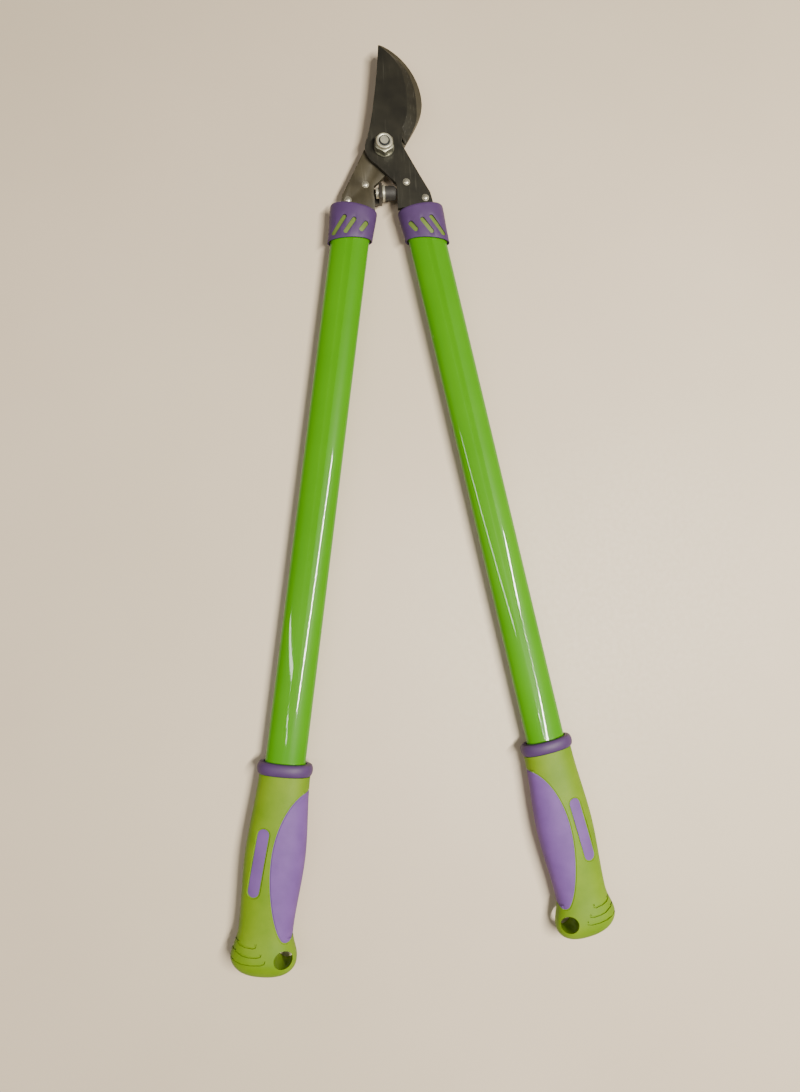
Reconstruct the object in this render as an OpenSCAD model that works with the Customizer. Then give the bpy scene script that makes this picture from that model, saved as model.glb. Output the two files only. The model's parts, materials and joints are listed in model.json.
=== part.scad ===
// Bypass loppers with two long oval-tube handles, lying flat and closed.
// +Z is up, +Y points from the grips to the tip of the jaws, and the pivot's axis is parallel to Z.
// The origin is under the middle of the whole tool, on the surface it lies on.

/* [Jaws] */
// Thickness of the cutting blade
blade_t = 4.5; // [3.5:0.1:5]
// Thickness of the hook
hook_t = 4.9; // [4:0.1:5.2]
// Radius of the round boss of each jaw at the pivot
boss_r = 15; // [14.5:0.1:15.2]
// Width of the ground bevel along the cutting edge
bevel_w = 8; // [5:0.5:10]
// Thickness left at the cutting edge
edge_t = 0.4; // [0.3:0.1:0.8]

/* [Pivot] */
// Diameter of the pivot bolt
bolt_d = 8; // [8:1:10]
// Radial clearance between the bolt and the turning blade
bolt_clearance = 0.08; // [0.03:0.01:0.1]
// Width across the flats of the bolt head and the locknut
hex_af = 14; // [13:0.5:14]
// Height of the bolt head
head_h = 5.3; // [5:0.1:6]
// Height of the locknut
nut_h = 9.2; // [8.5:0.1:9.5]
// Thickness of the washers
washer_t = 1.5; // [1:0.1:1.6]
// Outer radius of the washers
washer_r = 8; // [8:0.5:10]

/* [Tangs] */
// Thickness of the strap riveted under each jaw
strap_t = 4; // [3:0.5:4]
// Width of the strap
strap_w = 20; // [18:1:21]
// Distance from the pivot to the end of the strap inside the tube
strap_end = 130; // [110:5:150]
// Radius of the strap's rivets
rivet_r = 2; // [1.5:0.1:2.2]
// Radius of the rivets' domed heads
rivet_head_r = 2.8; // [2.5:0.1:3]

/* [Closing stop] */
// Diameter of the rubber buffer
buffer_d = 11; // [10:0.5:12]
// Length of the rubber buffer
buffer_l = 10; // [9:0.1:10.1]
// Thickness of the lug that carries the buffer
lug_t = 2.6; // [2:0.1:3]

/* [Handles] */
// Angle between each handle and the tool's centre line when the jaws are closed
handle_angle = 9.8; // [9:0.1:10.5]
// Distance by which each handle's axis passes beside the pivot
handle_offset = 17.8; // [17.5:0.1:18.5]
// Half of the tube's width
tube_a = 15; // [14:0.5:15]
// Half of the tube's thickness
tube_b = 8.5; // [8:0.5:8.5]
// Wall of the tube
tube_wall = 1.2; // [1:0.1:1.5]
// Distance from the pivot to the start of the tube, inside the collar
tube_start = 61; // [60:1:63]
// Distance from the pivot to the end of the tube, inside the grip
tube_end = 600; // [560:5:605]

/* [Collars] */
// Distance from the pivot to the front of the collar
collar_start = 50.6; // [50.5:0.1:51]
// Distance from the pivot to the rear edge of the collar, along the handle's axis
collar_end = 78.5; // [76:0.5:82]
// Angle by which the collar's rear edge leans back towards the outside
collar_lean = 12; // [0:1:14]
// Width of the slots in the collar
slot_w = 3.6; // [2:0.1:4]

/* [Grips] */
// Half of the grip's thickness
grip_h = 14.5; // [14:0.5:15]
// Distance from the pivot to the front of the grip's ring
ring_start = 483.5; // [480:0.5:485]
// Distance from the pivot to the start of the grip's body
grip_start = 492.5; // [491:0.5:494]
// Radius of the hole to hang the tool by
hang_r = 6.5; // [5:0.5:7]
// How far the soft palm inlay reaches past the handle's axis
palm_reach = 0.6; // [-2:0.1:2]
// Width of the bar inlay
bar_w = 8; // [6:0.5:9]

/* [Hidden] */
$fn = 64;

// Side of the tool that a handle is on
left = -1;
right = 1;

// Heights above the surface that the tool lies on
tube_z = grip_h;
blade_z = tube_z + 2;
hook_z = blade_z - 0.1 - hook_t;
strap_z = blade_z - strap_t;
low_strap_z = hook_z - strap_t;
nut_z = blade_z + blade_t + 0.1 + washer_t;
bolt_top_z = nut_z + nut_h + 0.6;
head_z = hook_z - washer_t - head_h;

// Outlines of the jaws, about the pivot
blade_tip = [0, 86.5];
blade_belly = [28.2, 35];
blade_heel = [15.5, 1];
hook_tip = [1, 88.5];
hook_back = [32.8, 40];
tang_corner = [36.6, -44.4];
tang_end = 50;
blade_tang_x = 8.3;
hook_tang_x = 9.5;

// Rivets through jaw and strap, as distance across and along the handle
rivet_spots = [[-6.6, 30.2], [5.4, 45.2]];
tube_rivet_along = 70;

// Buffer, on an axis parallel to X
buffer_y = -35;
buffer_z = tube_z + 2;
lug_x = -6;
cup_t = 1.2;

// Grip: distance along the handle, half width, offset across and half thickness
grip_stations = [
    [grip_start, 18.9, -0.8, 12.6],
    [554, 22.2, -1.1, grip_h],
    [606, 19.8, -0.9, 13.2],
    [625, 24, -1.8, 14]
];
grip_end = 638.5;
grip_power = 2.3;
hang_spot = [-16.6, 623.2];
bar_across = 9;
bar_span = [533, 578];
bar_depth = 3;
bar_bottoms = [bar_depth - 9, 2 * grip_h - bar_depth];

// Collar: half-axes of the core, then the slots' offsets across and starts and ends along
collar_core_a = tube_a + 1.6;
collar_core_b = tube_b + 1.6;
collar_slots = [[9.2, 61.5, 78], [0.8, 62.5, 76], [-9.8, 63, 72]];

// ---------- curves and lofts ----------

function ease(t) = t * t * (3 - 2 * t);

// Points of a cubic Bezier curve, without its last point.
function bezier(a, b, c, d, steps = 12) = [
    for (i = [0:steps - 1])
        let (t = i / steps, u = 1 - t)
            u * u * u * a + 3 * u * u * t * b + 3 * u * t * t * c + t * t * t * d
];

// Oval with half-axes a and b; a power above 2 makes it squarer.
function oval(a, b, power = 2, points = 64) = [
    for (i = [0:points - 1])
        let (turn = 360 * (i + 0.5) / points, x = cos(turn), y = sin(turn))
            [a * sign(x) * pow(abs(x), 2 / power), b * sign(y) * pow(abs(y), 2 / power)]
];

// Slot outline with round ends, running along Y.
function stadium(width, length) = [
    for (end = [1, -1])
        for (turn = [0:15:180])
            [
                end * width / 2 * cos(turn),
                end * ((length - width) / 2 + width / 2 * sin(turn))
            ]
];

// Oval outline standing across the handle at a distance along it.
function across_ring(along, a, shift, b, power, points = 32) = [
    for (p = oval(a, b, power, points)) [p[0] + shift, -along, p[1] + tube_z]
];

// Closed solid through a stack of rings that have equal numbers of points.
module loft(rings) {
    count = len(rings[0]);
    last = len(rings) - 1;
    sides = [
        for (i = [0:last - 1])
            for (j = [0:count - 1])
                let (k = (j + 1) % count)
                    each [
                        [i * count + j, i * count + k, (i + 1) * count + k],
                        [i * count + j, (i + 1) * count + k, (i + 1) * count + j]
                    ]
    ];
    front = [for (j = [count - 1:-1:0]) j];
    back = [for (j = [0:count - 1]) last * count + j];
    polyhedron([for (ring = rings) each ring], concat([front], sides, [back]), convexity = 4);
}

// ---------- placing ----------

// Half width, offset across and half thickness of the grip at a distance along the handle.
function grip_section(along) =
    let (
        i = max([for (k = [0:len(grip_stations) - 2]) if (grip_stations[k][0] <= along) k]),
        a = grip_stations[i],
        b = grip_stations[i + 1],
        m = a + (b - a) * ease((along - a[0]) / (b[0] - a[0]))
    )
        [m[1], m[2], m[3]];

// Height of the grip's face above its middle plane.
function grip_face(across, along) =
    let (g = grip_section(along))
        g[2] * pow(1 - pow(abs(across - g[1]) / g[0], grip_power), 1 / grip_power);

// Outline of the palm inlay, across and along the handle; it runs out past the grip's inner side.
palm_outline = concat(
    [[-40, 500.6]],
    bezier([-21, 500.6], [-10, 503.5], [palm_reach, 525], [palm_reach, 550]),
    bezier([palm_reach, 550], [palm_reach, 572], [-6, 597], [-13, 606.5]),
    bezier([-13, 606.5], [-15.4, 609.8], [-19.4, 609.6], [-20.6, 605.5]),
    [[-20.6, 605.5], [-40, 600]]
);

grip_rings = concat(
    [
        for (i = [0:len(grip_stations) - 2])
            for (k = [0:4])
                let (
                    along = grip_stations[i][0] + (grip_stations[i + 1][0] - grip_stations[i][0]) * k / 5,
                    g = grip_section(along)
                )
                    across_ring(along, g[0], g[1], g[2], grip_power)
    ],
    [
        for (turn = [0:14:84])
            let (last = grip_stations[len(grip_stations) - 1], shrink = pow(cos(turn), 0.7))
                across_ring(
                    last[0] + (grip_end - last[0]) * sin(turn) / sin(84),
                    last[1] * shrink,
                    last[2] - 1.5 * sin(turn),
                    last[3] * shrink,
                    grip_power
                )
    ]
);

// The whole tool is moved along Y so that the origin is halfway along it.
function behind_pivot(point) =
    (point[0] + handle_offset) * sin(handle_angle) + point[1] * cos(handle_angle);
rear_y = min([for (ring = grip_rings) for (p = ring) behind_pivot(p)]);
pivot_y = -(hook_tip[1] + rear_y) / 2;

module at_pivot() {
    translate([0, pivot_y, 0]) children();
}

// Puts a part drawn along -Y, with inwards at -X, on the handle of one side.
module on_handle(side) {
    at_pivot()
        mirror([side == left ? 1 : 0, 0, 0])
            rotate([0, 0, handle_angle])
                translate([handle_offset, 0, 0])
                    children();
}

// ---------- jaws ----------

cutting_edge = concat(
    bezier(blade_tip, [20, 76], [29, 62], blade_belly),
    bezier(blade_belly, [28.2, 21], [23.8, 16.6], blade_heel),
    [blade_heel]
);

// Line where the bevel meets the flat of the blade; it closes on the edge at the tip.
function bevel_line(depth) = [
    for (i = [0:len(cutting_edge) - 1])
        let (
            p = cutting_edge[i],
            inwards = [-2, 34] - p,
            width = depth * min(1, (i + 1.5) / 9) * min(1, (len(cutting_edge) + 1 - i) / 5)
        )
            p + inwards / norm(inwards) * width
];

blade_spine = bezier([-14.2, 2], [-8.5, 22], [-2.5, 55], blade_tip, 16);

// Right-hand tang of a jaw, from the boss to the collar.
module tang(inner_x, thickness) {
    linear_extrude(thickness)
        polygon([
            [0, 0],
            blade_heel,
            [27, -21.5],
            [34.8, -36],
            tang_corner,
            [inner_x, -49.3],
            [inner_x, -29],
            [-boss_r * 0.68, -boss_r * 0.68]
        ]);
}

module rivet_holes(side, bottom, height) {
    mirror([side == left ? 1 : 0, 0, 0])
        rotate([0, 0, handle_angle])
            translate([handle_offset, 0, bottom])
                for (spot = rivet_spots)
                    translate([spot[0], -spot[1], 0])
                        cylinder(r = rivet_r, h = height);
}

// Wedge between the bevel line and the cutting edge.
module bevel_wedge() {
    line = bevel_line(bevel_w);
    buried = bevel_line(bevel_w + 1);
    last = len(cutting_edge) - 2;
    loft([
        for (i = [1:last])
            [
                [buried[i][0], buried[i][1], blade_z],
                [buried[i][0], buried[i][1], blade_z + blade_t],
                [line[i][0], line[i][1], blade_z + blade_t],
                [cutting_edge[i][0], cutting_edge[i][1], blade_z + edge_t],
                [cutting_edge[i][0], cutting_edge[i][1], blade_z]
            ]
    ]);
}

module cutting_blade() {
    color("#3c3a30")
        at_pivot() {
            difference() {
                translate([0, 0, blade_z]) {
                    linear_extrude(blade_t)
                        polygon(concat(bevel_line(bevel_w), [[0, 0]], blade_spine));
                    cylinder(r = boss_r, h = blade_t);
                    tang(blade_tang_x, blade_t);
                }
                translate([0, 0, blade_z - 1])
                    cylinder(r = bolt_d / 2 + bolt_clearance, h = blade_t + 2);
                rivet_holes(right, blade_z - 1, blade_t + 2);
            }
            bevel_wedge();
        }
}

module hook_jaw() {
    outer = concat(
        bezier(hook_tip, [14, 84], [32.8, 66], hook_back),
        bezier(hook_back, [32.8, 29], [24, 17], [15.3, 2.5]),
        [[15.3, 2.5], [12, 0]]
    );
    inner = concat(
        bezier([2.5, 13.5], [13, 18], [18.5, 28], [18.5, 40]),
        bezier([18.5, 40], [18.5, 60], [10, 76], hook_tip)
    );
    color("#55523f")
        at_pivot()
            difference() {
                translate([0, 0, hook_z]) {
                    linear_extrude(hook_t) polygon(concat(inner, outer, [[0, -2]]));
                    cylinder(r = boss_r, h = hook_t);
                    mirror([1, 0, 0]) tang(hook_tang_x, hook_t);
                }
                translate([0, 0, hook_z - 1])
                    cylinder(r = bolt_d / 2 + 0.02, h = hook_t + 2);
                rivet_holes(left, hook_z - 1, hook_t + 2);
            }
}

// ---------- pivot ----------

module hexagon(across_flats, height) {
    rotate([0, 0, 30])
        cylinder(r = across_flats / sqrt(3), h = height, $fn = 6);
}

module pivot_bolt() {
    color("#9a9482")
        at_pivot() {
            intersection() {
                translate([0, 0, head_z]) hexagon(hex_af, head_h);
                union() {
                    translate([0, 0, head_z]) cylinder(r1 = hex_af / 2 - 0.3, r2 = hex_af * 0.6, h = 1);
                    translate([0, 0, head_z + 1]) cylinder(r = hex_af * 0.6, h = head_h - 1);
                }
            }
            translate([0, 0, head_z + head_h - 0.5])
                cylinder(r = bolt_d / 2, h = bolt_top_z - head_z - head_h - 0.3);
            translate([0, 0, bolt_top_z - 0.8])
                cylinder(r1 = bolt_d / 2, r2 = bolt_d / 2 - 0.8, h = 0.8);
        }
}

module washer(bottom) {
    at_pivot()
        translate([0, 0, bottom])
            difference() {
                cylinder(r = washer_r, h = washer_t);
                translate([0, 0, -1]) cylinder(r = bolt_d / 2 + 0.3, h = washer_t + 2);
            }
}

module head_washer() {
    color("#8f8a7c") washer(hook_z - washer_t);
}

module nut_washer() {
    color("#8f8a7c") washer(nut_z - washer_t);
}

module pivot_locknut() {
    crown_z = nut_h * 0.72;
    color("#a8a08c")
        at_pivot()
            translate([0, 0, nut_z])
                difference() {
                    union() {
                        intersection() {
                            hexagon(hex_af, crown_z);
                            union() {
                                cylinder(r1 = hex_af / 2, r2 = hex_af * 0.6, h = 1);
                                translate([0, 0, 1]) cylinder(r = hex_af * 0.6, h = crown_z - 2.2);
                                translate([0, 0, crown_z - 1.2])
                                    cylinder(r1 = hex_af * 0.6, r2 = hex_af / 2 - 0.6, h = 1.2);
                            }
                        }
                        cylinder(r = hex_af / 2 - 0.7, h = nut_h);
                    }
                    translate([0, 0, -1]) cylinder(r = bolt_d / 2 + 0.02, h = nut_h + 2);
                    translate([0, 0, crown_z]) cylinder(r = bolt_d / 2 + 1.3, h = nut_h - crown_z - 0.6);
                    translate([0, 0, nut_h - 1]) cylinder(r = bolt_d / 2 + 0.8, h = 2);
                }
}

module locknut_insert() {
    crown_z = nut_h * 0.72;
    color("#3a5a8a")
        at_pivot()
            translate([0, 0, nut_z + crown_z + 0.05])
                difference() {
                    cylinder(r = bolt_d / 2 + 1.25, h = nut_h - crown_z - 0.7);
                    translate([0, 0, -1]) cylinder(r = bolt_d / 2 + 0.04, h = nut_h);
                }
}

// ---------- straps and rivets ----------

module strap_outline() {
    half = strap_w / 2;
    polygon([
        [-half, -strap_end],
        [half, -strap_end],
        [half, -41],
        [half / 2, -29],
        [0, -24.5],
        [-half, -24.5]
    ]);
}

// Straight strap under the blade's tang.
module right_tang_strap() {
    color("#2b2621")
        difference() {
            on_handle(right)
                translate([0, 0, strap_z]) linear_extrude(strap_t) strap_outline();
            at_pivot() rivet_holes(right, strap_z - 1, strap_t + 2);
            tube_rivet_hole(right);
        }
}

// Side view of the strap under the hook: it steps up into the middle of the tube.
module stepped_side() {
    rotate([90, 0, 90])
        translate([0, 0, -strap_w])
            linear_extrude(strap_w * 2)
                polygon([
                    [-20, low_strap_z],
                    [-tang_end - 0.6, low_strap_z],
                    [-tube_start, strap_z],
                    [-strap_end - 5, strap_z],
                    [-strap_end - 5, strap_z + strap_t],
                    [-tube_start + 1, strap_z + strap_t],
                    [-tang_end - 0.4, low_strap_z + strap_t],
                    [-20, low_strap_z + strap_t]
                ]);
}

module left_tang_strap() {
    lug_low = buffer_y - buffer_d / 2 - 0.5;
    lug_width = buffer_d + 1;
    color("#2b2621")
        difference() {
            union() {
                on_handle(left)
                    intersection() {
                        linear_extrude(40) strap_outline();
                        stepped_side();
                    }
                at_pivot()
                    translate([-16, lug_low, low_strap_z])
                        cube([16 + lug_x + lug_t, lug_width, strap_t]);
                at_pivot()
                    translate([lug_x, lug_low, low_strap_z])
                        cube([lug_t, lug_width, buffer_z + buffer_d / 2 - low_strap_z]);
            }
            at_pivot() rivet_holes(left, low_strap_z - 1, strap_t + 2);
            at_pivot()
                translate([lug_x - 1, buffer_y, buffer_z])
                    rotate([0, 90, 0]) cylinder(r = 2.5, h = lug_t + 2);
            tube_rivet_hole(left);
        }
}

module tube_rivet_hole(side) {
    on_handle(side)
        translate([0, -tube_rivet_along, 0]) cylinder(r = 2.5, h = 40);
}

module domed_rivet(bottom, top) {
    dome_r = rivet_head_r * 1.2;
    rise = sqrt(dome_r * dome_r - rivet_head_r * rivet_head_r);
    translate([0, 0, bottom - 0.4]) cylinder(r = rivet_r, h = top - bottom + 0.8);
    for (face = [[top, 1], [bottom, -1]])
        intersection() {
            translate([0, 0, face[0] - face[1] * rise]) sphere(r = dome_r);
            translate([-5, -5, face[1] > 0 ? face[0] : face[0] - 5]) cube([10, 10, 5]);
        }
}

module tang_rivets(side, bottom, top) {
    color("#8a8478")
        on_handle(side)
            for (spot = rivet_spots)
                translate([spot[0], -spot[1], 0]) domed_rivet(bottom, top);
}

module left_tang_rivets() {
    tang_rivets(left, low_strap_z, hook_z + hook_t);
}

module right_tang_rivets() {
    tang_rivets(right, strap_z, blade_z + blade_t);
}

// ---------- closing stop ----------

module along_x(start) {
    at_pivot()
        translate([start, buffer_y, buffer_z])
            rotate([0, 90, 0])
                children();
}

module buffer_cup() {
    color("#c9c5ba")
        along_x(lug_x + lug_t)
            difference() {
                cylinder(r = buffer_d / 2 + 0.6, h = cup_t + 1);
                translate([0, 0, cup_t]) cylinder(r = buffer_d / 2 + 0.02, h = 2);
                translate([0, 0, -1]) cylinder(r = 2.5, h = 4);
            }
}

module buffer_rubber() {
    color("#2a2725")
        along_x(lug_x + lug_t + cup_t)
            difference() {
                union() {
                    cylinder(r = buffer_d / 2, h = buffer_l - 1);
                    translate([0, 0, buffer_l - 1])
                        cylinder(r1 = buffer_d / 2, r2 = buffer_d / 2 - 1, h = 1);
                }
                translate([0, 0, -1]) cylinder(r = 2.5, h = 6);
            }
}

module buffer_screw() {
    color("#8f8a7c")
        along_x(lug_x - 2.4) {
            difference() {
                cylinder(r = 4.2, h = 2.4);
                translate([0, 0, -1]) hexagon(3, 2.4);
            }
            cylinder(r = 2.45, h = 2.4 + lug_t + cup_t + 4.6);
        }
}

// ---------- tubes ----------

module tube(side) {
    color("#4fa81f")
        difference() {
            on_handle(side)
                rotate([90, 0, 0])
                    translate([0, tube_z, tube_start])
                        linear_extrude(tube_end - tube_start)
                            difference() {
                                polygon(oval(tube_a, tube_b));
                                polygon(oval(tube_a - tube_wall, tube_b - tube_wall));
                            }
            tube_rivet_hole(side);
        }
}

module left_tube() {
    tube(left);
}

module right_tube() {
    tube(right);
}

// Pin that holds strap and tube together, filed flush under the collar.
module tube_rivet(side) {
    color("#8a8478")
        on_handle(side)
            translate([0, -tube_rivet_along, tube_z - tube_b + 0.05])
                cylinder(r = 2.48, h = tube_b * 2 - 0.1);
}

module left_tube_rivet() {
    tube_rivet(left);
}

module right_tube_rivet() {
    tube_rivet(right);
}

// ---------- collars ----------

// Everything behind the collar's slanting rear edge.
module behind_collar(setback) {
    translate([0, -collar_end - setback, 0])
        rotate([0, 0, -collar_lean])
            translate([-60, -60, -10]) cube([120, 60, 60]);
}

module collar_core(side, slot_bottom, slot_top) {
    front = collar_start + 0.5;
    color("#7fa04a")
        on_handle(side)
            difference() {
                rotate([90, 0, 0])
                    translate([0, tube_z, front])
                        linear_extrude(collar_end + 12 - front)
                            polygon(oval(collar_core_a, collar_core_b));
                rotate([90, 0, 0])
                    translate([0, tube_z, front + 2])
                        linear_extrude(collar_end)
                            polygon(oval(tube_a + 0.05, tube_b + 0.05));
                translate([-strap_w / 2 - 0.2, -front - 3, slot_bottom])
                    cube([strap_w + 0.4, 4, slot_top - slot_bottom]);
                behind_collar(-1.5);
            }
}

module left_collar_core() {
    collar_core(left, low_strap_z - 0.2, strap_z + strap_t + 0.2);
}

module right_collar_core() {
    collar_core(right, strap_z - 0.2, strap_z + strap_t + 0.2);
}

// Slanting slot with round ends, cut through one face of the collar.
module collar_slot(spot, bottom) {
    lean = 27;
    translate([spot[0], -(spot[1] + spot[2]) / 2, bottom])
        rotate([0, 0, lean])
            linear_extrude(20)
                polygon(stadium(slot_w, (spot[2] - spot[1]) / cos(lean)));
}

module collar_sleeve(side, slot_bottom, slot_top) {
    rings = [
        for (s = [
            [0, 16.6, 10.4], [0.6, 17.7, 11.4], [1.6, 18.3, 11.9], [3, 18.5, 12],
            [20, 17.6, 11.2], [collar_end + 12 - collar_start, 16.9, 10.5]
        ])
            across_ring(collar_start + s[0], s[1], 0, s[2], 2, 48)
    ];
    color("#75609f")
        on_handle(side)
            difference() {
                loft(rings);
                rotate([90, 0, 0])
                    translate([0, tube_z, collar_start + 0.5])
                        linear_extrude(collar_end)
                            polygon(oval(collar_core_a + 0.02, collar_core_b + 0.02));
                translate([-strap_w / 2 - 0.2, -collar_start - 3, slot_bottom])
                    cube([strap_w + 0.4, 4, slot_top - slot_bottom]);
                for (slot = collar_slots) {
                    collar_slot(slot, tube_z + 1);
                    collar_slot(slot, tube_z - 21);
                }
                behind_collar(0);
            }
}

module left_collar_sleeve() {
    collar_sleeve(left, low_strap_z - 0.2, strap_z + strap_t + 0.2);
}

module right_collar_sleeve() {
    collar_sleeve(right, strap_z - 0.2, strap_z + strap_t + 0.2);
}

// ---------- grips ----------

module tube_room() {
    rotate([90, 0, 0])
        translate([0, tube_z, ring_start - 10])
            linear_extrude(tube_end + 1 - ring_start + 10)
                polygon(oval(tube_a + 0.05, tube_b + 0.05));
}

module palm_cutter() {
    translate([0, 0, -5])
        linear_extrude(40)
            polygon([for (p = palm_outline) [p[0], -p[1]]]);
}

// Round-ended bar that starts at a height and runs out past the grip's face.
module bar_cutter(bottom) {
    translate([bar_across, -(bar_span[0] + bar_span[1]) / 2, bottom])
        linear_extrude(9)
            polygon(stadium(bar_w, bar_span[1] - bar_span[0]));
}

module hang_hole() {
    translate([hang_spot[0], -hang_spot[1], -5]) cylinder(r = hang_r, h = 40);
}

module grip_body(side) {
    color("#8fae45")
        on_handle(side)
            difference() {
                loft(grip_rings);
                tube_room();
                palm_cutter();
                for (bottom = bar_bottoms) bar_cutter(bottom);
                hang_hole();
            }
}

module left_grip_body() {
    grip_body(left);
}

module right_grip_body() {
    grip_body(right);
}

// Soft moulded pad that wraps round the inner edge of the grip.
module palm_inlay(side) {
    color("#9078bb")
        on_handle(side)
            difference() {
                intersection() {
                    loft(grip_rings);
                    palm_cutter();
                }
                tube_room();
                hang_hole();
            }
}

module left_palm_inlay() {
    palm_inlay(left);
}

module right_palm_inlay() {
    palm_inlay(right);
}

// Soft bars let into the front and back of the grip.
module bar_inlays(side) {
    length = bar_span[1] - bar_span[0];
    rings = [
        for (turn = [10:10:170])
            let (
                along = (bar_span[0] + bar_span[1] - (length - bar_w * sin(turn)) * cos(turn)) / 2,
                from_end = min(along - bar_span[0], bar_span[1] - along),
                inset = max(0, bar_w / 2 - from_end),
                half = sqrt(bar_w * bar_w / 4 - inset * inset) - 0.02
            )
                concat(
                    [
                        [bar_across + half, -along, grip_h - bar_depth + 0.02],
                        [bar_across - half, -along, grip_h - bar_depth + 0.02]
                    ],
                    [
                        for (step = [-1:0.5:1])
                            [bar_across + half * step, -along, grip_face(bar_across + half * step, along)]
                    ]
                )
    ];
    color("#8570ad")
        on_handle(side)
            translate([0, 0, tube_z])
                for (face = [0, 1])
                    mirror([0, 0, face]) loft(rings);
}

module left_bar_inlays() {
    bar_inlays(left);
}

module right_bar_inlays() {
    bar_inlays(right);
}

module grip_ring(side) {
    length = grip_start - 0.05 - ring_start;
    rings = [
        for (turn = [0:15:180])
            across_ring(
                ring_start + length * (1 - cos(turn)) / 2,
                18.4 + 2.3 * sin(turn),
                -0.4,
                12 + 2.2 * sin(turn),
                2.2
            )
    ];
    color("#75609f")
        on_handle(side)
            difference() {
                loft(rings);
                tube_room();
            }
}

module left_grip_ring() {
    grip_ring(left);
}

module right_grip_ring() {
    grip_ring(right);
}

cutting_blade();
hook_jaw();
pivot_bolt();
head_washer();
nut_washer();
pivot_locknut();
locknut_insert();
left_tang_strap();
right_tang_strap();
left_tang_rivets();
right_tang_rivets();
buffer_cup();
buffer_rubber();
buffer_screw();
left_tube();
right_tube();
left_tube_rivet();
right_tube_rivet();
left_collar_core();
right_collar_core();
left_collar_sleeve();
right_collar_sleeve();
left_grip_ring();
right_grip_ring();
left_grip_body();
right_grip_body();
left_palm_inlay();
right_palm_inlay();
left_bar_inlays();
right_bar_inlays();
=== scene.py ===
import json
import math
import bpy
from mathutils import Matrix, Vector


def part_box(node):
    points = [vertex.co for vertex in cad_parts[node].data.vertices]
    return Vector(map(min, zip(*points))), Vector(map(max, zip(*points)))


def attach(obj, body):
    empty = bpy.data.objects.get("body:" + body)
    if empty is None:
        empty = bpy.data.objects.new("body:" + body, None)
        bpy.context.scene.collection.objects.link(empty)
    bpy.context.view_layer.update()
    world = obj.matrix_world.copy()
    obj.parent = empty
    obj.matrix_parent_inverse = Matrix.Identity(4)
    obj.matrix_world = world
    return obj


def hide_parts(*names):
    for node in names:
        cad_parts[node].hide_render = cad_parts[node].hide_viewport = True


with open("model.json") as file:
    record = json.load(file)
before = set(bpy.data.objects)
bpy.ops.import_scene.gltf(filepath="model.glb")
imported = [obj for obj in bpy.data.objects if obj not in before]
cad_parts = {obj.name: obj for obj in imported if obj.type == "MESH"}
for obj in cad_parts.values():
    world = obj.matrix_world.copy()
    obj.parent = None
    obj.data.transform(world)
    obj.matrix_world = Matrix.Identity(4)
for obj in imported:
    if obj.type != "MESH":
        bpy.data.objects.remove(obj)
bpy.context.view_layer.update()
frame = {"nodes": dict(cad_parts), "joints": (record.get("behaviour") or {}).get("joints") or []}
pivot = Vector(frame["joints"][0]["pos_m"])


# ---------- Camera ----------
# It is held about 60 cm above the middle of the tool and looks nearly straight down.

camera_data = bpy.data.cameras.new("camera")
camera_data.lens = 25.95
camera_data.sensor_width = 36
camera_data.shift_x = -0.064
camera = bpy.data.objects.new("camera", camera_data)
camera.location = (-0.034, -0.0848, 0.6279)
camera.rotation_euler = (math.radians(3.704), math.radians(-7.56), math.radians(-3.584))
bpy.context.scene.collection.objects.link(camera)
bpy.context.scene.camera = camera


# ---------- Table top ----------
# A plain pale table of matt laminate, lit from both sides by two long lamps near the ceiling
# and by the light that a pale room gives back, brighter on the right.


def make_finish(name, dark, light, patch, gloss, grain, relief, sheen=0.5):
    """A finish that drifts between two colours in patches, with a fine grain in gloss and relief."""
    finish = bpy.data.materials.new(name)
    finish.use_nodes = True
    tree = finish.node_tree
    shader = tree.nodes["Principled BSDF"]
    shader.inputs["Specular IOR Level"].default_value = sheen
    place = tree.nodes.new("ShaderNodeTexCoord")
    patches = tree.nodes.new("ShaderNodeTexNoise")
    patches.inputs["Scale"].default_value = 1 / patch
    patches.inputs["Detail"].default_value = 4
    tree.links.new(place.outputs["Object"], patches.inputs["Vector"])
    tones = tree.nodes.new("ShaderNodeValToRGB")
    tones.name = "tones"
    tones.color_ramp.elements[0].position = 0.32
    tones.color_ramp.elements[0].color = (*dark, 1)
    tones.color_ramp.elements[1].position = 0.68
    tones.color_ramp.elements[1].color = (*light, 1)
    tree.links.new(patches.outputs["Fac"], tones.inputs["Fac"])
    tree.links.new(tones.outputs["Color"], shader.inputs["Base Color"])
    grains = tree.nodes.new("ShaderNodeTexNoise")
    grains.inputs["Scale"].default_value = 1 / grain
    grains.inputs["Detail"].default_value = 5
    tree.links.new(place.outputs["Object"], grains.inputs["Vector"])
    shine = tree.nodes.new("ShaderNodeMapRange")
    shine.inputs["From Min"].default_value = 0.3
    shine.inputs["From Max"].default_value = 0.7
    shine.inputs["To Min"].default_value = gloss[0]
    shine.inputs["To Max"].default_value = gloss[1]
    tree.links.new(grains.outputs["Fac"], shine.inputs["Value"])
    tree.links.new(shine.outputs["Result"], shader.inputs["Roughness"])
    bump = tree.nodes.new("ShaderNodeBump")
    bump.inputs["Distance"].default_value = relief
    tree.links.new(grains.outputs["Fac"], bump.inputs["Height"])
    tree.links.new(bump.outputs["Normal"], shader.inputs["Normal"])
    return finish


TABLE_WIDTH = 6
LAMP_HEIGHT = 1.5
bpy.ops.object.select_all(action="DESELECT")
bpy.ops.mesh.primitive_plane_add(size=TABLE_WIDTH, location=(0, 0, 0))
floor = bpy.context.object
floor.name = "floor"
laminate = make_finish(
    "laminate", (0.60, 0.497, 0.375), (0.64, 0.533, 0.405), 0.25, (0.5, 0.6), 0.004, 0.00002
)
floor.data.materials.append(laminate)


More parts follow.
